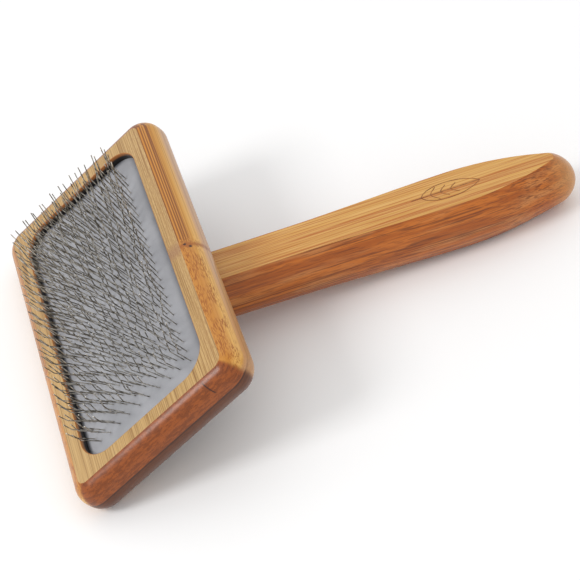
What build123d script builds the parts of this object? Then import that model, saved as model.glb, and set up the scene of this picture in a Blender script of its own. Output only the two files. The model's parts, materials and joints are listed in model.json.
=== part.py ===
"""Slicker brush: a bamboo head with a cushioned pad of bent wire pins and a bamboo handle.

The head is drawn flat first: X runs across the head towards the handle, Y along the head, and Z
out of the front face, which is Z = 0. The finished brush is then laid on its back, pins upwards,
so that the rounded edge of the head and the end of the handle both touch the floor.
"""
from build123d import *
from math import asin, atan2, cos, degrees, hypot, pi, radians, sin
from random import Random
import os

# ---- driving dimensions, millimetres and degrees ----
head_length = 120.9
head_width = 66.2
head_corner_radius = 7.5
frame_thickness = 6.6
board_thickness = 6.6
edge_bulge = 4.5             # how far the rounded edge stands out past the flat face
edge_flat = 1.2              # straight middle of the rounded edge
border_width = 4.6           # flat wood between the rounded edge and the window
window_corner_radius = 9.0
window_edge_round = 0.35
lip_thickness = 3.0          # wood of the frame in front of the pad
rebate_width = 3.0           # how far the pad reaches under the frame

pad_thickness = 1.2
pad_dome_height = 2.3
cloth_thickness = 0.8
pad_side_clearance = 0.3
pad_seat_gap = 0.1           # between the pad's rim and the frame in front of it
foam_thickness = 3.85        # under the pad's rim; the pocket in the back board is made to fit it
foam_seat_gap = 0.05

wire_diameter = 0.32
staple_width = 2.84          # between the two legs of one staple
staple_turn = 40.0           # the staples are set slantwise, turned from the head's length
columns = 10                 # across the head
field_side_margin = 5.775    # from the side of the window to the middle of the outermost column
rows = 23                    # along the head
field_end_margin = 8.45      # from the end of the window to the middle of the last row
field_shift = -1.4           # from the middle of the pad, away from the handle
leg_height = 7.7             # from the rubber to the bend
tip_length = 5.0
leg_lean = 3.7               # away from the handle
tip_lean = 21.0              # towards the handle
splay_across = 16.0          # lean of the outermost columns, half way along the head
splay_ease = 0.4             # share of that lean which is lost at the head's ends
splay_along = 17.0           # lean of the last rows
wire_bend_radius = 0.6
wire_scatter = 1.5           # how unevenly the legs stand

handle_tilt = 32.3           # between the handle and the head
handle_axis_depth = 32.3     # handle axis behind the front face, at the edge of the head
handle_length = 102.3        # from the edge of the head to the end
handle_thickness = 16.8      # at the edge of the head
handle_end_thickness = 18.3
handle_neck_width = 12.9     # flat front of the handle at the head
handle_neck_run = 12.5       # straight part of the handle beyond the edge of the head
handle_belly_width = 15.6    # flat front of the handle at its widest
handle_belly_place = 64.0
handle_side_bulge = 3.3
flat_end_gap = 6.0           # the flat front stops short of the end by this
flat_end_radius = 2.0
handle_end_radius = 8.0
foot_blunt = 4.0             # the thin edge of the handle's foot is cut back by this

screw_diameter = 3.4
screw_head_diameter = 6.4
screw_head_height = 2.0
screw_length = 12.0
screw_point_length = 3.0
screw_spacing = 9.0
screw_shift = 6.0            # from the middle of the handle's foot to where the foot is thick
screw_slot_length = 3.6
screw_slot_width = 0.9
screw_slot_depth = 1.3
screw_hole_clearance = 0.15
screw_socket_clearance = 0.05
screw_head_sink = 0.2

# ---- derived sizes ----
head_thickness = frame_thickness + board_thickness
edge_curve_height = (head_thickness - edge_flat) / 2
edge_radius = (edge_bulge ** 2 + edge_curve_height ** 2) / (2 * edge_bulge)
window_length = head_length - 2 * (edge_bulge + border_width)
window_width = head_width - 2 * (edge_bulge + border_width)
rebate_length = window_length + 2 * rebate_width
pad_bed_width = window_width + 2 * rebate_width
rebate_corner_radius = window_corner_radius + rebate_width
dome_length = window_length - 2 * pad_side_clearance
dome_width = window_width - 2 * pad_side_clearance
pad_top = -lip_thickness - pad_seat_gap
cloth_top = pad_top - pad_thickness
cloth_bottom = cloth_top - cloth_thickness
bridge_depth = pad_thickness + cloth_thickness + wire_diameter / 2
recess_floor = cloth_bottom - foam_thickness - foam_seat_gap
field_width = window_width - 2 * field_side_margin
field_length = window_length - 2 * field_end_margin
column_pitch = field_width / (columns - 1)
row_pitch = field_length / (rows - 1)
handle_slope = radians(handle_tilt)
taper = degrees(atan2((handle_end_thickness - handle_thickness) / 2, handle_length))


# ---- shapes used by several pieces ----
def rounded_block(length_y, width_x, corner_radius, bottom, top):
    """A plate with rounded corners between two heights."""
    outline = RectangleRounded(width_x, length_y, corner_radius)
    return extrude(Pos(0, 0, bottom) * outline, amount=top - bottom)


def head_blank():
    """Both layers of the head in one, with the rounded edge all round."""
    spare = edge_radius - edge_curve_height
    block = rounded_block(head_length, head_width, head_corner_radius, -head_thickness - spare, spare)
    flat_faces = block.faces().sort_by(Axis.Z)
    block = fillet(flat_faces[0].edges() + flat_faces[-1].edges(), edge_radius)
    return block & Pos(0, 0, -head_thickness / 2) * Box(2 * head_width, 2 * head_length, head_thickness)


def dome(foot):
    """A pillow shape that rises from a flat rectangle at height foot."""
    x = dome_width / 2
    y = dome_length / 2
    crown = foot + 4 * pad_dome_height
    grid = [[(i * x, j * y, crown if i == j == 0 else foot) for j in (-1, 0, 1)] for i in (-1, 0, 1)]
    top = Face.make_bezier_surface(grid)
    base = Pos(0, 0, foot) * Rectangle(dome_width, dome_length).face()
    pillow = Solid(Shell([top, base]))
    return pillow & rounded_block(dome_length, dome_width, window_corner_radius - pad_side_clearance,
                                  foot - pad_dome_height, foot + 2 * pad_dome_height)


def pad_layer(bottom, top):
    """One layer of the pad: a flat rim with a dome of even thickness inside it."""
    side = 2 * pad_side_clearance
    rim = rounded_block(rebate_length - side, pad_bed_width - side,
                        rebate_corner_radius - pad_side_clearance, bottom, top)
    return rim + dome(top) - dome(bottom)


def dome_rise(x, y):
    """Height of the pad's surface above its rim at a point."""
    across = 1 - (2 * x / dome_width) ** 2
    along = 1 - (2 * y / dome_length) ** 2
    return pad_dome_height * across * along


# ---- wooden head ----
def front_frame():
    """Front layer: a window for the pad, and a rebate behind it that holds the pad's rim."""
    layer = Pos(0, 0, -frame_thickness / 2) * Box(2 * head_width, 2 * head_length, frame_thickness)
    frame = head_blank() & layer
    frame -= rounded_block(window_length, window_width, window_corner_radius, -frame_thickness, 1)
    window_edges = frame.faces().sort_by(Axis.Z)[-1].inner_wires()[0].edges()
    frame = fillet(window_edges, window_edge_round)
    frame -= rounded_block(rebate_length, pad_bed_width, rebate_corner_radius,
                           -frame_thickness - 1, -lip_thickness)
    return frame


def back_board():
    """Back layer: a pocket for the foam and two countersunk holes for the handle's screws."""
    middle = -frame_thickness - board_thickness / 2
    board = head_blank() & Pos(0, 0, middle) * Box(2 * head_width, 2 * head_length, board_thickness)
    board -= rounded_block(rebate_length, pad_bed_width, rebate_corner_radius, recess_floor, 0)
    for place in screw_places():
        board -= place * screw_envelope(screw_hole_clearance)
    return board


# ---- screws that hold the handle ----
def screw_places():
    """Centres of the two screw heads, over the middle of the handle's foot."""
    slope = sin(handle_slope) / cos(handle_slope)
    lie = handle_thickness / 2 / cos(handle_slope)
    foot_start = head_width / 2 - (handle_axis_depth + lie - head_thickness) / slope
    foot_end = head_width / 2 - (handle_axis_depth - lie - head_thickness) / slope
    centre = (foot_start + foot_end) / 2 + screw_shift
    height = recess_floor - screw_head_sink
    return [Pos(centre - side * screw_spacing / 2, 0, height) for side in (1, -1)]


def screw_envelope(clearance):
    """The screw's outline turned about its axis, head upwards at height 0, with room all round."""
    head = screw_head_diameter / 2 + clearance
    shank = screw_diameter / 2 + clearance
    points = [(0, screw_head_sink + clearance), (head, screw_head_sink + clearance), (head, 0),
              (shank, -screw_head_height), (shank, -screw_length + screw_point_length - clearance),
              (0, -screw_length - clearance)]
    return revolve(make_face(Plane.XZ * Polyline(*points, close=True)), Axis.Z)


def handle_screws():
    """Two countersunk wood screws with crossed slots."""
    head = screw_head_diameter / 2
    shank = screw_diameter / 2
    points = [(0, 0), (head, 0), (shank, -screw_head_height),
              (shank, -screw_length + screw_point_length), (0, -screw_length)]
    screw = revolve(make_face(Plane.XZ * Polyline(*points, close=True)), Axis.Z)
    slot = Box(screw_slot_length, screw_slot_width, 2 * screw_slot_depth)
    screw -= slot
    screw -= Rot(0, 0, 90) * slot
    return [place * screw for place in screw_places()]


# ---- handle ----
def handle_outline(neck, belly, end, end_radius):
    """Half widths at the head and at the belly, closed by a nose that ends at a rounded point."""
    start = -(handle_axis_depth + handle_thickness - head_thickness) / sin(handle_slope) - handle_thickness
    nose_run = end - end_radius - handle_belly_place
    side_radius = (nose_run ** 2 + belly ** 2 - end_radius ** 2) / (2 * (belly - end_radius))
    centre_y = belly - side_radius
    reach = hypot(nose_run, centre_y)
    touch_x = handle_belly_place + side_radius * nose_run / reach
    touch_y = centre_y - side_radius * centre_y / reach
    half_turn = atan2(nose_run, -centre_y) / 2
    middle = (handle_belly_place + side_radius * sin(half_turn), centre_y + side_radius * cos(half_turn))
    neck_end = (handle_neck_run, neck)
    lines = Polyline((neck_end[0], -neck), (start, -neck), (start, neck), neck_end)
    swell = Spline(neck_end, (handle_belly_place, belly), tangents=[(1, 0), (1, 0)])
    nose = ThreePointArc((handle_belly_place, belly), middle, (touch_x, touch_y))
    tip = ThreePointArc((touch_x, touch_y), (end, 0), (touch_x, -touch_y))
    under = [mirror(edge, Plane.XZ) for edge in (nose, swell)]
    return make_face(lines + swell + nose + tip + under[0] + under[1])


def handle_frame():
    """The handle's own axes: X along the handle, Z out of its flat front."""
    return Plane((head_width / 2, 0, -handle_axis_depth),
                 x_dir=(cos(handle_slope), 0, -sin(handle_slope)),
                 z_dir=(sin(handle_slope), 0, cos(handle_slope))).location


def handle():
    """A bar with flat front and back and bulging sides, cut off slantwise on the back board."""
    neck = handle_neck_width / 2
    belly = handle_belly_width / 2
    flat = handle_outline(neck, belly, handle_length - flat_end_gap, flat_end_radius)
    middle = handle_outline(neck + handle_side_bulge, belly + handle_side_bulge, handle_length,
                            handle_end_radius)
    front = Pos(0, 0, handle_thickness / 2) * Rot(0, -taper, 0) * flat
    back = Pos(0, 0, -handle_thickness / 2) * Rot(0, taper, 0) * flat
    bar = handle_frame() * loft([back, middle, front])
    behind_board = Pos(handle_length, 0, -head_thickness - handle_length) * Box(
        4 * handle_length, head_length, 2 * handle_length)
    bar &= behind_board
    edge = bar.bounding_box().min.X
    bar -= Pos(edge, 0, -head_thickness) * Box(2 * foot_blunt, head_length, head_thickness)
    for place in screw_places():
        bar -= place * screw_envelope(screw_socket_clearance)
    return bar


# ---- pad, cloth and cushion ----
def rubber_pad():
    """The grey rubber face that the pins come through."""
    return pad_layer(cloth_top, pad_top)


def cloth_backing():
    """Woven cloth glued behind the rubber, which the wire staples are driven through."""
    return pad_layer(cloth_bottom, cloth_top)


def foam_cushion():
    """Soft foam between the cloth and the floor of the back board's pocket."""
    side = 2 * pad_side_clearance
    block = rounded_block(rebate_length - side, pad_bed_width - side,
                          rebate_corner_radius - pad_side_clearance, recess_floor + foam_seat_gap,
                          cloth_bottom)
    return block + dome(cloth_bottom)


# ---- wire staples ----
def leg_points(side, lean_x, lean_y, bend):
    """One leg of a staple from the cloth to its tip, as directions leaning from upright."""
    turn = radians(staple_turn)
    reach = side * staple_width / 2
    foot = Vector(-reach * sin(turn), reach * cos(turn), -bridge_depth)
    rise = Vector(-sin(radians(lean_x)), sin(radians(lean_y)), 1).normalized()
    onward = Vector(sin(radians(bend)), sin(radians(lean_y)), cos(radians(bend))).normalized()
    knee = foot + rise * (leg_height + bridge_depth)
    return [foot, knee, knee + onward * tip_length]


def staple(chance):
    """A wire bent into a U, whose two legs are bent again near their tips."""
    legs = []
    for side in (-1, 1):
        lean_x = leg_lean + chance.gauss(0, wire_scatter)
        lean_y = chance.gauss(0, wire_scatter)
        bend = tip_lean + chance.gauss(0, 2 * wire_scatter)
        legs.append(leg_points(side, lean_x, lean_y, bend))
    route = list(reversed(legs[0])) + legs[1]
    path = FilletPolyline(*route, radius=wire_bend_radius)
    start = Plane(origin=route[0], z_dir=route[1] - route[0])
    return sweep(start * Circle(wire_diameter / 2), path=path)


def staple_place(column, row):
    """Where a staple stands on the domed pad, and how it leans out with the dome."""
    x = column * column_pitch - field_width / 2 + field_shift
    y = row * row_pitch - field_length / 2
    out_across = 2 * x / field_width
    out_along = 2 * y / field_length
    lean_across = splay_across * out_across * (1 - splay_ease * out_along ** 2)
    lean_along = splay_along * out_along
    return Pos(x, y, pad_top + dome_rise(x, y)) * Rot(-lean_along, lean_across, 0)


def pin_row(row):
    """One row of staples across the head."""
    chance = Random(100 + row)
    return [staple_place(column, row) * staple(chance) for column in range(columns)]


# ---- the brush laid on its back ----
def lying_pose():
    """Tilt that lets the head's rounded edge and the handle's end touch the floor together."""
    edge_x = edge_radius - head_width / 2
    edge_z = edge_curve_height - head_thickness
    along = handle_length - flat_end_gap
    below = handle_thickness / 2 + along * sin(radians(taper))
    end_x = head_width / 2 + along * cos(handle_slope) - below * sin(handle_slope)
    end_z = -handle_axis_depth - along * sin(handle_slope) - below * cos(handle_slope)
    span = hypot(end_x - edge_x, end_z - edge_z)
    tilt = -atan2(end_z - edge_z, end_x - edge_x) - asin(edge_radius / span)
    return Rot(0, -degrees(tilt), 0), tilt


def build_pieces():
    """Every piece by name, in the head's own axes, as a list of solids."""
    pieces = {
        "front_frame": [front_frame()],
        "back_board": [back_board()],
        "handle": [handle()],
        "handle_screws": handle_screws(),
        "rubber_pad": [rubber_pad()],
        "cloth_backing": [cloth_backing()],
        "foam_cushion": [foam_cushion()],
    }
    for row in range(rows):
        pieces[f"pin_row_{row + 1:02d}"] = pin_row(row)
    return pieces


def main():
    os.makedirs("parts", exist_ok=True)
    pose, tilt = lying_pose()
    laid = {name: [pose * solid for solid in solids] for name, solids in build_pieces().items()}
    box = Compound(children=[Compound(children=solids) for solids in laid.values()]).bounding_box()
    to_origin = Pos(-(box.min.X + box.max.X) / 2, 0, -box.min.Z)
    for name, solids in laid.items():
        moved = [to_origin * solid for solid in solids]
        export_step(Compound(children=moved), f"parts/{name}.step")
    print(f"{len(laid)} pieces, head tilted {degrees(tilt):.3f} degrees")
    print("head origin after laying down", (to_origin * pose).position)
    print("size", box.size)


main()
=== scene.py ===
# %% [markdown]
# # A slicker brush
#
# A slicker brush is a flat wooden head with a cushioned rubber face, from which rows of fine bent
# wires stand, and a handle screwed to its back. The wooden pieces, the wires and the screws are
# shown as the CAD model has them. This lesson gives them their finishes, and builds the three
# soft layers of the face anew, because rubber, cloth and foam aren't crisp solids.

# %% Load the CAD model
import json
import math

import bpy
import numpy as np
from mathutils import Matrix, Vector
from mathutils.kdtree import KDTree


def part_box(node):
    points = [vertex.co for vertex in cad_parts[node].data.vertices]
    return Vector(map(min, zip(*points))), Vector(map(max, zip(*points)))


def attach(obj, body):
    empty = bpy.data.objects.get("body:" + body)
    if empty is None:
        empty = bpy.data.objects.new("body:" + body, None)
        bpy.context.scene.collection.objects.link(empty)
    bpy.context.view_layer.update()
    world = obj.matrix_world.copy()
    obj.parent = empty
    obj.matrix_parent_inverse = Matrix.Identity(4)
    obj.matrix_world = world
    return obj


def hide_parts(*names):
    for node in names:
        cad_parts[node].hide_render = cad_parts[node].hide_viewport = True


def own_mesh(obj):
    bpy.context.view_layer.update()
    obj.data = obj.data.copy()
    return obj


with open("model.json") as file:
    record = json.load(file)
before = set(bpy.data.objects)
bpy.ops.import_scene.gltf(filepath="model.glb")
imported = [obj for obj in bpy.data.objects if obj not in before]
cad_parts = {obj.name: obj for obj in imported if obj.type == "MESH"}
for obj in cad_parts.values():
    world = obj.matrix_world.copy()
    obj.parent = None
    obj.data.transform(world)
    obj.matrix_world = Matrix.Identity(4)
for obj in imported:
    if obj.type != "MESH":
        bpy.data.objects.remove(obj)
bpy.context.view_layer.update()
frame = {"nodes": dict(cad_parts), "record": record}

nodes = frame["nodes"]

# %% [markdown]
# ## The head's and the handle's own axes
#
# The brush lies on its back, so the head is tilted. Wood grain follows the wood and not the
# floor, so finishes and new pieces are placed in axes that belong to the head: x across it
# towards the handle, y along it, and z out of its front face. The record's mount on the front
# face gives the tilt. The handle's axes are turned again, so that y runs along its fibres.

# %% Axes of the head
MM = 0.001
head_half_width = 33.1
handle_tilt = math.radians(32.3)
handle_axis_depth = 32.3
handle_length = 102.3

rim = {mount["name"]: mount for mount in frame["record"]["mounts"]}["front_rim"]
outward = Vector(rim["axis"])
along = Vector((0, 1, 0))
across = along.cross(outward)
layers = [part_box("front_frame"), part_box("back_board")]
low = Vector([min(layer[0][i] for layer in layers) for i in range(3)])
high = Vector([max(layer[1][i] for layer in layers) for i in range(3)])
centre = (low + high) / 2
face_centre = centre + outward * (Vector(rim["pos_m"]) - centre).dot(outward)
head = Matrix((across, along, outward)).transposed().to_4x4()
head.translation = face_centre
head_mm = head @ Matrix.Scale(MM, 4)
print("the face's centre is at", face_centre)

# %% Axes of the handle
shoulder = Matrix.Translation((head_half_width * MM, 0, -handle_axis_depth * MM))
fibres_along_y = Matrix.Rotation(math.radians(-90), 4, "Z")
handle = head @ shoulder @ Matrix.Rotation(handle_tilt, 4, "Y") @ fibres_along_y
handle_mm = handle @ Matrix.Scale(MM, 4)
print("the handle starts at", handle.translation)

# %% [markdown]
# ## Shader arithmetic
#
# A finish is a sum of patterns, such as fibres, pores and dashes. Value wraps a shader socket so
# that such sums read as plain arithmetic, and Shader.node is the one way in which any other node
# is added.


# %% Value and Shader
class Value:
    """A shader socket that arithmetic can be written with."""

    def __init__(self, shader, socket):
        self.shader = shader
        self.socket = socket

    def math(self, operation, *numbers):
        settings = {"operation": operation}
        return self.shader.node("ShaderNodeMath", settings, dict(enumerate(numbers)))

    def __add__(self, other):
        return self.math("ADD", self, other)

    def __radd__(self, other):
        return self.math("ADD", other, self)

    def __sub__(self, other):
        return self.math("SUBTRACT", self, other)

    def __rsub__(self, other):
        return self.math("SUBTRACT", other, self)

    def __mul__(self, other):
        return self.math("MULTIPLY", self, other)

    def __rmul__(self, other):
        return self.math("MULTIPLY", other, self)

    def __truediv__(self, other):
        return self.math("DIVIDE", self, other)

    def __abs__(self):
        return self.math("ABSOLUTE", self)

    def sine(self):
        return self.math("SINE", self)

    def root(self):
        return self.math("SQRT", self)


class Shader:
    """A material with its surface, and the one method that adds nodes to it."""

    def __init__(self, name, constants=None):
        self.material = bpy.data.materials.new(name)
        self.material.use_nodes = True
        self.tree = self.material.node_tree
        self.surface = self.tree.nodes["Principled BSDF"]
        self.fill(self.surface, constants or {})

    def fill(self, node, inputs):
        for key, value in inputs.items():
            if isinstance(value, Value):
                self.tree.links.new(value.socket, node.inputs[key])
            else:
                node.inputs[key].default_value = value

    def node(self, kind, settings=None, inputs=None, output=0):
        made = self.tree.nodes.new(kind)
        for key, value in (settings or {}).items():
            setattr(made, key, value)
        self.fill(made, inputs or {})
        return Value(self, made.outputs[output])

    def cover(self, colour, height, depth, rough=None):
        """Gives the surface its colour, a relief of a depth in millimetres, and its roughness."""
        inputs = {"Base Color": colour, "Normal": bump(height, depth)}
        if rough is not None:
            inputs["Roughness"] = rough
        self.fill(self.surface, inputs)


# %% Patterns and colours
def tint(red, green, blue):
    """A display colour, 0 to 255, as the linear colour that a shader takes."""
    shares = [channel / 255 for channel in (red, green, blue)]
    linear = [s / 12.92 if s <= 0.04045 else ((s + 0.055) / 1.055) ** 2.4 for s in shares]
    return (*linear, 1.0)


def place_in(shader, axes):
    """Where a point is in the axes given, in millimetres."""
    return shader.node(
        "ShaderNodeMapping",
        {"vector_type": "TEXTURE"},
        {
            "Vector": shader.node("ShaderNodeTexCoord", output="Object"),
            "Location": axes.to_translation(),
            "Rotation": axes.to_euler(),
            "Scale": (MM, MM, MM),
        },
    )


def split(point):
    """The three parts of a point."""
    node = point.shader.node
    return [node("ShaderNodeSeparateXYZ", None, {0: point}, part) for part in range(3)]


def towards(shader, direction):
    """How far the surface faces a direction, from -1 to 1."""
    normal = shader.node("ShaderNodeTexCoord", output="Normal")
    return vector_math("DOT_PRODUCT", normal, direction, 1)


def vector_math(operation, first, second, output=0):
    """Arithmetic on points; output 1 is the single number of those that give one."""
    inputs = {0: first, 1: second}
    return first.shader.node("ShaderNodeVectorMath", {"operation": operation}, inputs, output)


def noise(point, sizes, detail=1.0):
    """Soft noise from 0 to 1, whose blotches have the sizes given in millimetres."""
    inputs = {"Vector": vector_math("DIVIDE", point, sizes), "Scale": 1.0, "Detail": detail}
    return point.shader.node("ShaderNodeTexNoise", None, inputs)


def drawn_out(width, length):
    """Sizes of a pattern that runs along the fibres, which lie along y."""
    return (width, length, width)


def shifted(point, amount):
    """The point moved sideways to the grain by an amount in millimetres."""
    move = point.shader.node("ShaderNodeCombineXYZ", None, {0: amount, 2: amount})
    return vector_math("ADD", point, move)


def distance(point, place):
    """How far a point is from a place, in millimetres."""
    return vector_math("DISTANCE", point, place, 1)


def cells(point, sizes):
    """Distance from the middle of the nearest of many scattered cells."""
    inputs = {"Vector": vector_math("DIVIDE", point, sizes), "Scale": 1.0}
    return point.shader.node("ShaderNodeTexVoronoi", None, inputs)


def step(value, low, high):
    """0 before low and 1 past high, smooth in between, and the other way where high is less."""
    inputs = {"Value": value, "From Min": low, "From Max": high}
    return value.shader.node("ShaderNodeMapRange", {"interpolation_type": "SMOOTHSTEP"}, inputs)


def blend(first, second, share):
    """A colour on the way from the first to the second."""
    inputs = {0: share, 6: first, 7: second}
    return share.shader.node("ShaderNodeMix", {"data_type": "RGBA"}, inputs, 2)


def bump(height, depth):
    """A normal that follows a height, 0 to 1, of the depth given in millimetres."""
    inputs = {"Height": height, "Strength": 1.0, "Distance": depth * MM}
    return height.shader.node("ShaderNodeBump", None, inputs)


sample = tint(128, 128, 128)
print("a middle grey is", round(sample[0], 3), "as a linear colour")


# %% [markdown]
# ## Bamboo
#
# Laminated bamboo is made of long strips glued side by side. Lengthwise it shows fine straight
# lines and short dark dashes. Across the ends the same fibres show as rows of dark pores in a
# redder, darker wood that drinks more of the lacquer. A joint of the cane, the node, crosses the
# strips as a wavering darker line. All of it is solid noise, much longer along the fibres than
# across them, so the lines on a face and the pores at its ends belong together.


# %% The head's wood
lacquer = {"Specular IOR Level": 0.15, "Coat Weight": 0.5, "Coat Roughness": 0.2}
fibre_depth = 0.03
node_place = -6.0
node_half_width = 4.5
node_waver = 2.0
glue_depth = 6.6
crack_place = 20.0
crack_lean = 0.35
window = (48.0, 102.7)
knots = [(29.8, -5.6, -0.9), (31.4, -7.0, -1.4), (37.0, -4.6, -5.0)]


def head_wood(name, darker):
    """Bamboo whose fibres run along the head; darker, from 0 to 1, deepens its rounded sides and
    ends, partly as the wood's own deeper tone and partly as painted shade.
    """
    shader = Shader(name, lacquer)
    point = place_in(shader, head)
    u, v, w = split(point)
    facing = towards(shader, outward)
    sideways = (1.0 - facing * facing + 0.0001).root()
    ends = step(abs(towards(shader, along)) / sideways, 0.6, 0.82)
    flat = step(facing, 0.94, 0.985)
    side = 1.0 - flat

    # patterns of the fibres, which waver where they cross the node
    near_node = step(abs(v - node_place), node_half_width, 0.3)
    waver = (noise(point, drawn_out(1.1, 1.6)) - 0.5) * near_node * node_waver
    bent = shifted(point, waver)
    strips = step(noise(bent, drawn_out(1.7, 190)), 0.4, 0.6)
    fibres = noise(bent, drawn_out(0.24, 30))
    lines = step(noise(bent, drawn_out(0.36, 85)), 0.5, 0.64)
    dashes = step(noise(bent, drawn_out(0.24, 2.0)), 0.49, 0.56)
    patches = step(noise(point, drawn_out(3.0, 7.0)), 0.34, 0.54)

    # the front face: pale straw with fine brown lines
    front = blend(tint(186, 150, 96), tint(168, 130, 78), strips)
    front = blend(front, tint(128, 88, 46), lines * 0.65)
    front = blend(front, tint(206, 172, 116), step(fibres, 0.46, 0.58) * 0.65)
    front = blend(front, tint(150, 104, 62), dashes * step(u, 20, 27) * 0.35)
    front = blend(front, tint(150, 106, 82), near_node * step(u, 18, 24) * 0.55)

    # the rounded long sides: golden, striped above the node and feathered below it, with a painted
    # reflection where they turn furthest from the front
    golden = blend(tint(222, 170, 90), tint(206, 148, 62), strips)
    golden = blend(golden, tint(166, 110, 46), lines * 0.5)
    band = step(facing, 0.45, 0.72)
    golden = blend(golden, tint(186, 118, 38), band * 0.75)
    upper = step(v, node_place, node_place + 3.0)
    stripes = step(noise(bent, drawn_out(0.5, 120)), 0.46, 0.56) * upper * band
    feathers = dashes * patches * (1.0 - upper) * step(facing, 0.2, 0.5)
    golden = blend(golden, tint(118, 62, 20), stripes * 0.85)
    golden = blend(golden, tint(150, 82, 22), feathers * 0.8)
    # painted reflection: the sides turned furthest from the front are paled to pinkish tan,
    # standing in for the lacquer's sheen
    golden = blend(golden, tint(178, 136, 112), step(facing, 0.25, 0.05) * 0.55)

    # the node's ring round the sides, and the dark pits beside it
    ring = step(abs(v - node_place + waver * 0.6), 1.6, 0.1)
    golden = blend(golden, tint(150, 78, 24), ring * 0.7)
    for knot in knots:
        golden = blend(golden, tint(58, 28, 12), step(distance(bent, knot), 0.75, 0.3))

    # the cut ends: reddish brown with pores, and a crack in the lower one
    pores = step(cells(point, drawn_out(0.42, 3.0)), 0.34, 0.08)
    grain = noise(point, (2.2, 8.0, 0.5), 3.0)
    cut = blend(tint(148, 76, 26), tint(122, 60, 18), step(grain, 0.38, 0.62))
    cut = blend(cut, tint(70, 32, 14), pores * 0.6)
    crack = step(abs(u - crack_place + w * crack_lean), 0.32, 0.08)
    crack = crack * step(w, -4.2, -3.4) * step(w, -0.2, -0.8)
    cut = blend(cut, tint(40, 18, 10), crack * step(v, -50, -55) * 0.85)

    # the three put together, with the window's wall orange at its lip and in painted shade below
    # it, and the dark glue line
    wood = blend(golden, front, flat)
    wood = blend(wood, cut, ends * side)
    inside_u = step(abs(u), window[0] / 2 + 0.6, window[0] / 2 + 0.3)
    inside = inside_u * step(abs(v), window[1] / 2 + 0.6, window[1] / 2 + 0.3)
    wood = blend(wood, tint(176, 112, 54), inside * side * 0.8)
    # painted shade: the window's wall turns near black below its lip, where the recess is in
    # shadow
    wood = blend(wood, tint(20, 15, 12), inside * side * step(w, -0.6, -1.5))
    # the rounded sides and ends deepened by the second argument: partly the wood's own deeper
    # tone, partly painted shade
    wood = blend(wood, tint(72, 38, 18), side * (ends * 0.75 + 0.2) * darker)
    glue = step(abs(w + glue_depth), 0.4, 0.1)
    wood = blend(wood, tint(52, 26, 14), glue * side * (ends * 0.6 + 0.2))

    rough = 0.36 + fibres * 0.18 + pores * ends * 0.2
    height = fibres * 0.5 - lines * 0.3 - pores * ends * 0.8
    shader.cover(wood, height, fibre_depth, rough)
    return shader.material


frame_wood = head_wood("frame_bamboo", 0.0)
# the back board is the same wood deepened, partly its own deeper tone and partly painted shade on
# its underside
board_wood = head_wood("board_bamboo", 0.8)
print("head finishes made:", frame_wood.name, board_wood.name)


# %% The handle's wood
nose_sheen_length = 12


def handle_wood():
    """Bamboo strips along the handle: pale with orange lines in front, brown elsewhere, paled near
    the nose by a painted reflection.
    """
    shader = Shader("handle_bamboo", lacquer)
    point = place_in(shader, handle)
    _, y, _ = split(point)
    facing = towards(shader, handle.to_3x3().col[2])
    flat = step(facing, 0.9, 0.97)

    strips = step(noise(point, (1.3, 230, 1.6)), 0.38, 0.62)
    fibres = noise(point, drawn_out(0.24, 26))
    lines = step(noise(point, (0.62, 150, 0.8)), 0.49, 0.58)
    dashes = step(noise(point, drawn_out(0.3, 5.0)), 0.52, 0.62)
    streaks = step(noise(point, drawn_out(0.45, 95)), 0.54, 0.64)
    patches = noise(point, drawn_out(3.5, 26), 2.0)

    front = blend(tint(208, 156, 78), tint(196, 140, 62), strips)
    front = blend(front, tint(176, 98, 30), lines * 0.85)
    front = blend(front, tint(220, 176, 104), step(fibres, 0.46, 0.6) * 0.55)

    brown = blend(tint(190, 106, 34), tint(164, 84, 22), strips)
    brown = blend(brown, tint(198, 134, 76), step(patches, 0.45, 0.65) * 0.6)
    brown = blend(brown, tint(122, 62, 24), dashes * 0.5)
    brown = blend(brown, tint(98, 48, 18), streaks * 0.65)
    # painted reflection: the brown is paled towards the nose, standing in for the lacquer's sheen
    # on the rounded tip
    nose_sheen = step(y, handle_length - nose_sheen_length, handle_length)
    brown = blend(brown, tint(206, 154, 96), nose_sheen * 0.7)

    wood = blend(brown, front, flat)
    rough = 0.34 + fibres * 0.2
    height = fibres * 0.5 - lines * 0.3 - dashes * (1.0 - flat) * 0.5
    shader.cover(wood, height, fibre_depth, rough)
    return shader.material


handle_finish = handle_wood()
print("handle finish made:", handle_finish.name)

# %% [markdown]
# ## Steel
#
# The pins are drawn steel wire, dull grey with a brown cast and brighter flanks. The screws are
# bright turned steel with rings left by the tool. Both are metal with a rough, slightly stained
# surface, so the noise goes into the roughness as well as the colour.


# %% Wire and screws
def steel(name, dark, bright, sizes):
    """Bare metal, stained from dark to bright in blotches of the sizes given."""
    shader = Shader(name, {"Metallic": 1.0})
    point = place_in(shader, head)
    stain = noise(point, sizes, 3.0)
    colour = blend(dark, bright, step(stain, 0.35, 0.7))
    shader.cover(colour, stain, 0.01, 0.26 + stain * 0.24)
    return shader.material


wire_finish = steel("pin_wire", tint(112, 105, 92), tint(236, 231, 220), (0.8, 0.8, 2.5))
screw_finish = steel("screw_steel", tint(150, 150, 148), tint(205, 205, 202), (2.0, 2.0, 0.12))
print("metal finishes made:", wire_finish.name, screw_finish.name)

# %% Dress the CAD pieces
pin_rows = [name for name in nodes if name.startswith("pin_row")]
finishes = {
    "front_frame": frame_wood,
    "back_board": board_wood,
    "handle": handle_finish,
    "handle_screws": screw_finish,
}
finishes.update({name: wire_finish for name in pin_rows})
for name, finish in finishes.items():
    materials = nodes[name].data.materials
    materials.clear()
    materials.append(finish)
print("dressed", len(finishes), "CAD pieces")
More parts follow.
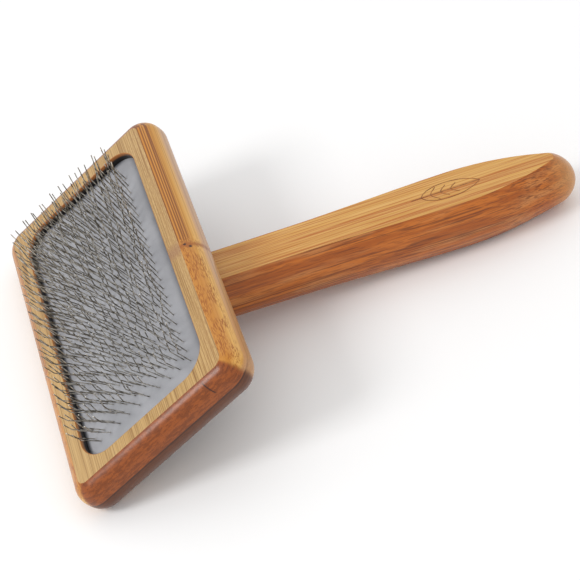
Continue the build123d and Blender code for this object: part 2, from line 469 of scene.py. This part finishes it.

# %% [markdown]
# ## The rubber face
#
# The face is a sheet of soft rubber with a flat rim that the frame holds and a pillow shape that
# the foam pushes up inside the window. It could be made from a block and carved, but a sheet is
# simpler: a fine grid with its corners cut round, raised into the pillow, then given thickness.
# Each wire pulls a tiny cone of rubber up round itself, and the rubber is darker round each wire's
# foot.

# %% Sizes of the soft layers
window_gap = 0.3
rim_width = 3.0
dome = [size - 2 * window_gap for size in window]
rim_size = [size + 2 * rim_width for size in dome]
rim_corner = 11.7
dome_height = 2.3
rubber_top = -3.1
rubber_thickness = 1.2
cloth_thickness = 0.8
foam_thickness = 3.8
cloth_top = rubber_top - rubber_thickness
foam_top = cloth_top - cloth_thickness
foam_floor = foam_top - foam_thickness
print("rim:", rim_size, "mm, with the foam's floor", -foam_floor, "mm behind the front face")


def pillow(x, y):
    """Height of the pillow shape above its rim."""
    rise = (1 - (2 * x / dome[0]) ** 2) * (1 - (2 * y / dome[1]) ** 2)
    inside = (abs(x) < dome[0] / 2) & (abs(y) < dome[1] / 2)
    return np.where(inside, dome_height * rise, 0.0)


# %% Tools for the soft layers
corner_cuts = 6
crease_angle = math.radians(40)


def round_grid(name, cell):
    """A flat grid of the rim's outline, with its corners cut round."""
    bpy.ops.object.select_all(action="DESELECT")
    counts = [round(size / cell) for size in rim_size]
    bpy.ops.mesh.primitive_grid_add(x_subdivisions=counts[0], y_subdivisions=counts[1], size=1.0)
    sheet = bpy.context.object
    sheet.name = name
    bpy.ops.transform.resize(value=(rim_size[0], rim_size[1], 1.0))
    bpy.ops.object.transform_apply(location=True, rotation=True, scale=True)
    bpy.ops.object.mode_set(mode="EDIT")
    for corner in ((1, 1), (1, -1), (-1, -1), (-1, 1)):
        middle = Vector([corner[i] * (rim_size[i] / 2 - rim_corner) for i in range(2)] + [0])
        for turn in range(corner_cuts):
            angle = math.radians(90 / corner_cuts * (turn + 0.5))
            normal = Vector((corner[0] * math.cos(angle), corner[1] * math.sin(angle), 0))
            edge = middle + normal * rim_corner
            bpy.ops.mesh.select_all(action="SELECT")
            bpy.ops.mesh.bisect(plane_co=edge, plane_no=normal, clear_outer=True)
    bpy.ops.object.mode_set(mode="OBJECT")
    return sheet


def corners_of(piece, to_local=None):
    """A mesh's corners as rows of numbers, turned into other axes if these are given."""
    flat = np.zeros(len(piece.data.vertices) * 3)
    piece.data.vertices.foreach_get("co", flat)
    points = flat.reshape(-1, 3)
    if to_local is None:
        return points
    turned = np.array(to_local)
    return points @ turned[:3, :3].T + turned[:3, 3]


def height_of(piece, layer_top):
    """The pillow's height at every corner of a piece, for a layer whose rim is at layer_top."""
    points = corners_of(piece)
    return layer_top + pillow(points[:, 0], points[:, 1])


def raise_to(piece, heights):
    """Moves every corner to a height of its own."""
    points = corners_of(piece)
    points[:, 2] = heights
    piece.data.vertices.foreach_set("co", points.ravel())
    piece.data.update()


def thicken(piece, thickness):
    """Gives a sheet its thickness, downwards."""
    solid = piece.modifiers.new("thickness", "SOLIDIFY")
    solid.thickness = thickness
    solid.offset = -1.0
    bpy.ops.object.modifier_apply(modifier=solid.name)


def settle(piece, axes_mm, body, material):
    """Puts a finished piece where its axes are, and lets it ride on its body."""
    piece.matrix_world = axes_mm
    bpy.ops.object.select_all(action="DESELECT")
    piece.select_set(True)
    bpy.context.view_layer.objects.active = piece
    bpy.ops.object.transform_apply(location=True, rotation=True, scale=True)
    bpy.ops.object.shade_smooth_by_angle(angle=crease_angle)
    piece.data.materials.clear()
    piece.data.materials.append(material)
    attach(piece, body)


# %% Where the wires come through
to_head = head_mm.inverted()
crossings = []
for name in pin_rows:
    points = corners_of(nodes[name], to_head)
    above = points[:, 2] - rubber_top - pillow(points[:, 0], points[:, 1])
    edges = nodes[name].data.edges
    ends = np.zeros(len(edges) * 2, dtype=int)
    edges.foreach_get("vertices", ends)
    first, second = ends.reshape(-1, 2).T
    through = above[first] * above[second] < 0
    first, second = first[through], second[through]
    share = (above[first] / (above[first] - above[second]))[:, None]
    crossings.extend(points[first] * (1 - share) + points[second] * share)
tree = KDTree(len(crossings))
for number, point in enumerate(crossings):
    tree.insert(point, number)
tree.balance()
print(len(crossings), "wire edges come through the rubber")


# %% Shape the rubber
rubber_cell = 0.45
pucker_height = 0.08
pucker_reach = 0.4
darkening_reach = 0.5


def nearness(points, reach):
    """1 at a wire and 0 away from it, for each point."""
    gaps = np.array([tree.find(point)[2] for point in points])
    return np.exp(-((gaps / reach) ** 2))


rubber = round_grid("rubber_face", rubber_cell)
points = corners_of(rubber)
points[:, 2] = height_of(rubber, rubber_top)
raise_to(rubber, points[:, 2] + pucker_height * nearness(points, pucker_reach))
thicken(rubber, rubber_thickness)
wire_closeness = rubber.data.attributes.new("near_wire", "FLOAT", "POINT")
wire_closeness.data.foreach_set("value", nearness(corners_of(rubber), darkening_reach))
print("rubber:", len(rubber.data.polygons), "faces")


# %% Finish the rubber
def rubber_finish():
    """Matt grey rubber with fine speckle, darker round each wire, and painted shade along the
    window's edge.
    """
    shader = Shader("grey_rubber")
    point = place_in(shader, head)
    speckle = noise(point, (0.18, 0.18, 0.18), 3.0)
    cloud = noise(point, (9.0, 9.0, 9.0), 3.0)
    near_wire_darkening = shader.node("ShaderNodeAttribute", {"attribute_name": "near_wire"}, None, "Fac")
    u, v, _ = split(point)
    sides = u.math("MINIMUM", dome[0] / 2 - u, 3.0 * (dome[0] / 2 + u))
    margin = u.math("MINIMUM", sides, 2.0 * (dome[1] / 2 - abs(v)))
    # painted shade along the window's edge, where the frame's wall overhangs the rubber
    window_edge_shade = step(margin, 3.4, -0.6)
    colour = blend(tint(158, 159, 164), tint(171, 172, 177), step(cloud, 0.35, 0.65))
    colour = blend(colour, tint(146, 147, 152), step(speckle, 0.5, 0.75) * 0.35)
    # darker round each wire's foot
    colour = blend(colour, tint(88, 86, 86), near_wire_darkening * 0.2)
    colour = blend(colour, tint(56, 58, 66), window_edge_shade * 0.85)
    shader.cover(colour, speckle, 0.02, 0.55 + speckle * 0.2)
    return shader.material


settle(rubber, head_mm, "pin_bed", rubber_finish())
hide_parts("rubber_pad")

# %% [markdown]
# ## The cloth behind the rubber
#
# The wires are driven through a woven cloth that is glued behind the rubber and stops them from
# tearing out. It has the same pillow shape and is stretched tight by the glue, so it is made in
# the same way with a coarser grid, and its weave is in the finish.


# %% Cloth
soft_cell = 1.2
thread_pitch = 0.9


def cloth_finish():
    """A plain weave of pale cotton threads."""
    shader = Shader("cotton_cloth", {"Roughness": 0.85})
    point = place_in(shader, head)
    u, v, _ = split(point)
    turns = 2 * math.pi / thread_pitch
    over = (u * turns).sine() * (v * turns).sine()
    lint = noise(point, (0.3, 0.3, 0.3), 3.0)
    colour = blend(tint(196, 188, 172), tint(228, 222, 208), step(over, -0.6, 0.6))
    colour = blend(colour, tint(176, 166, 148), step(lint, 0.5, 0.8) * 0.4)
    shader.cover(colour, over * 0.4 + lint * 0.3, 0.12)
    return shader.material


cloth = round_grid("cloth_sheet", soft_cell)
raise_to(cloth, height_of(cloth, cloth_top))
thicken(cloth, cloth_thickness)
settle(cloth, head_mm, "pin_bed", cloth_finish())
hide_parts("cloth_backing")
cloth_cut = tuple(size * MM for size in rim_size)
print("cloth cut to", cloth_cut)

# %% [markdown]
# ## The foam
#
# Soft foam fills the pocket behind the cloth and lets the whole face give by a millimetre or two.
# It can't slide with the face, since it lies on the pocket's floor, so it is attached to the brush
# rather than to the face.


def foam_finish():
    """Open foam: pale, with small round cells of many sizes."""
    shader = Shader("pale_foam", {"Roughness": 0.9})
    point = place_in(shader, head)
    holes = step(cells(point, (0.7, 0.7, 0.7)), 0.5, 0.15)
    cloud = noise(point, (6.0, 6.0, 6.0), 3.0)
    colour = blend(tint(222, 214, 190), tint(206, 196, 168), step(cloud, 0.35, 0.65))
    colour = blend(colour, tint(150, 138, 112), holes * 0.7)
    shader.cover(colour, 1.0 - holes, 0.3)
    return shader.material


foam = round_grid("foam_block", soft_cell)
raise_to(foam, height_of(foam, foam_top))
bpy.ops.object.mode_set(mode="EDIT")
bpy.ops.mesh.select_all(action="SELECT")
bpy.ops.mesh.extrude_region_move(TRANSFORM_OT_translate={"value": (0, 0, -foam_thickness)})
bpy.ops.object.mode_set(mode="OBJECT")
heights = corners_of(foam)[:, 2]
below = heights < foam_top - 0.3
raise_to(foam, np.where(below, foam_floor, heights))
bpy.ops.object.mode_set(mode="EDIT")
bpy.ops.mesh.select_all(action="SELECT")
bpy.ops.mesh.normals_make_consistent(inside=False)
bpy.ops.object.mode_set(mode="OBJECT")
settle(foam, head_mm, "brush", foam_finish())
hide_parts("foam_cushion")
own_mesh(foam)
print("foam:", len(foam.data.polygons), "faces")

# %% [markdown]
# ## The mark on the handle
#
# Brushes of this kind have a small mark burnt into the flat of the handle. This one is a plain
# leaf drawn with thin lines: fine tubes that lie almost wholly in the wood, so that only a dark
# thread shows. Cutting real grooves would mean changing a CAD piece.

# %% Leaf
leaf_place = 63.0
leaf_length = 19.0
leaf_width = 7.4
line_width = 0.26
stalk_length = 3.0
rib_count = 3
rib_gap = 3.2


def on_flat(x, y):
    """The point of the handle's flat front at x across and y along it."""
    start = handle_mm @ Vector((x, y, 40))
    hit, place, _, _ = nodes["handle"].ray_cast(start, -handle.to_3x3().col[2])
    assert hit, "the mark misses the handle"
    return handle_mm.inverted() @ place


def stroke(start, start_pull, end, end_pull):
    """One curved line on the flat, from start to end, drawn towards the two pulls."""
    bpy.ops.object.select_all(action="DESELECT")
    bpy.ops.curve.primitive_bezier_curve_add()
    line = bpy.context.object
    line.data.resolution_u = 10
    line.data.bevel_depth = line_width / 2
    line.data.bevel_resolution = 1
    bends = zip(line.data.splines[0].bezier_points, (start, end), (start_pull, end_pull))
    for bend, place, pull in bends:
        bend.handle_left_type = bend.handle_right_type = "FREE"
        bend.co = on_flat(*place)
        bend.handle_left = bend.handle_right = on_flat(*pull)
    bpy.ops.object.convert(target="MESH")
    return bpy.context.object


half = leaf_width / 2
tip = (0.0, leaf_place + leaf_length / 2)
foot = (0.0, leaf_place - leaf_length / 2)
stalk_end = (0.0, foot[1] - stalk_length)
strokes = [stroke(stalk_end, foot, tip, (0.0, tip[1] - stalk_length))]
for side in (-1, 1):
    belly = side * half * 1.3
    strokes.append(stroke(foot, (belly, foot[1] + 2.5), tip, (belly, tip[1] - 5.0)))
    for number in range(rib_count):
        rib = foot[1] + rib_gap + rib_gap * number
        reach = side * (half - 0.9 - 0.35 * number)
        rib_end = (reach, rib + 2.2)
        strokes.append(stroke((0.0, rib), (reach / 2, rib + 0.4), rib_end, (reach / 2, rib + 1.0)))
bpy.ops.object.select_all(action="DESELECT")
for piece in strokes:
    piece.select_set(True)
bpy.context.view_layer.objects.active = strokes[0]
bpy.ops.object.join()
leaf = bpy.context.object
leaf.name = "leaf_mark"


def burnt_finish():
    """Scorched wood, darkest where the iron stayed longest."""
    shader = Shader("burnt_line", {"Roughness": 0.7})
    point = place_in(shader, handle)
    scorch = noise(point, drawn_out(1.2, 2.5), 3.0)
    colour = blend(tint(120, 72, 36), tint(164, 108, 60), step(scorch, 0.35, 0.7))
    shader.cover(colour, scorch, 0.02)
    return shader.material


settle(leaf, handle_mm, "brush", burnt_finish())
print("leaf:", len(leaf.data.polygons), "faces")

# %% [markdown]
# ## Floor, light and camera
#
# The brush lies on a plain white floor. A soft light shines on its face, a weaker and broader one
# fills in from the handle's side, and white all round keeps the shadows faint and lets the
# lacquer show soft bright bands. The camera stands 0.6 m away with a long lens, and its place
# and its own three axes are given in the head's axes.

# %% Floor and light
floor_size = 8.0
floor_white = (0.97, 0.97, 0.97, 1)
surroundings = {"Color": (1, 1, 1, 1), "Strength": 0.84}

bpy.ops.object.select_all(action="DESELECT")
bpy.ops.mesh.primitive_plane_add(size=floor_size)
floor = bpy.context.object
floor.name = "floor"
floor_shader = Shader("floor", {"Base Color": floor_white, "Roughness": 0.9})
floor.data.materials.append(floor_shader.material)

world = bpy.data.worlds.new("white")
world.use_nodes = True
for key, value in surroundings.items():
    world.node_tree.nodes["Background"].inputs[key].default_value = value
bpy.context.scene.world = world


def softbox(name, place, size, power):
    """A square light at a place in the head's millimetres that shines at the face's centre."""
    data = bpy.data.lights.new(name, "AREA")
    data.energy = power
    data.size = size
    lamp = bpy.data.objects.new(name, data)
    bpy.context.scene.collection.objects.link(lamp)
    lamp.location = head_mm @ Vector(place)
    lamp.rotation_euler = (lamp.location - face_centre).to_track_quat("Z", "Y").to_euler()
    print("light", name, "at", lamp.location)


softbox("key", (-220, -160, 850), 0.3, 2.8)
softbox("fill", (500, 500, 500), 0.8, 0.5)

# %% Camera
view = bpy.data.cameras.new("camera")
view.sensor_width = 36.0
view.lens = 124.138
camera = bpy.data.objects.new("camera", view)
bpy.context.scene.collection.objects.link(camera)
right = Vector((0.71159517, -0.26835695, -0.6493203))
up = Vector((0.63657418, 0.63736533, 0.4342105))
back = Vector((0.29733084, -0.72232263, 0.6243752))
pose = Matrix((right, up, back)).transposed().to_4x4()
pose.translation = Vector((0.2173642, -0.4447809, 0.3385820))
camera.matrix_world = head @ pose
bpy.context.scene.camera = camera
bpy.context.scene.view_settings.view_transform = "Standard"
print("camera at", camera.matrix_world.translation)
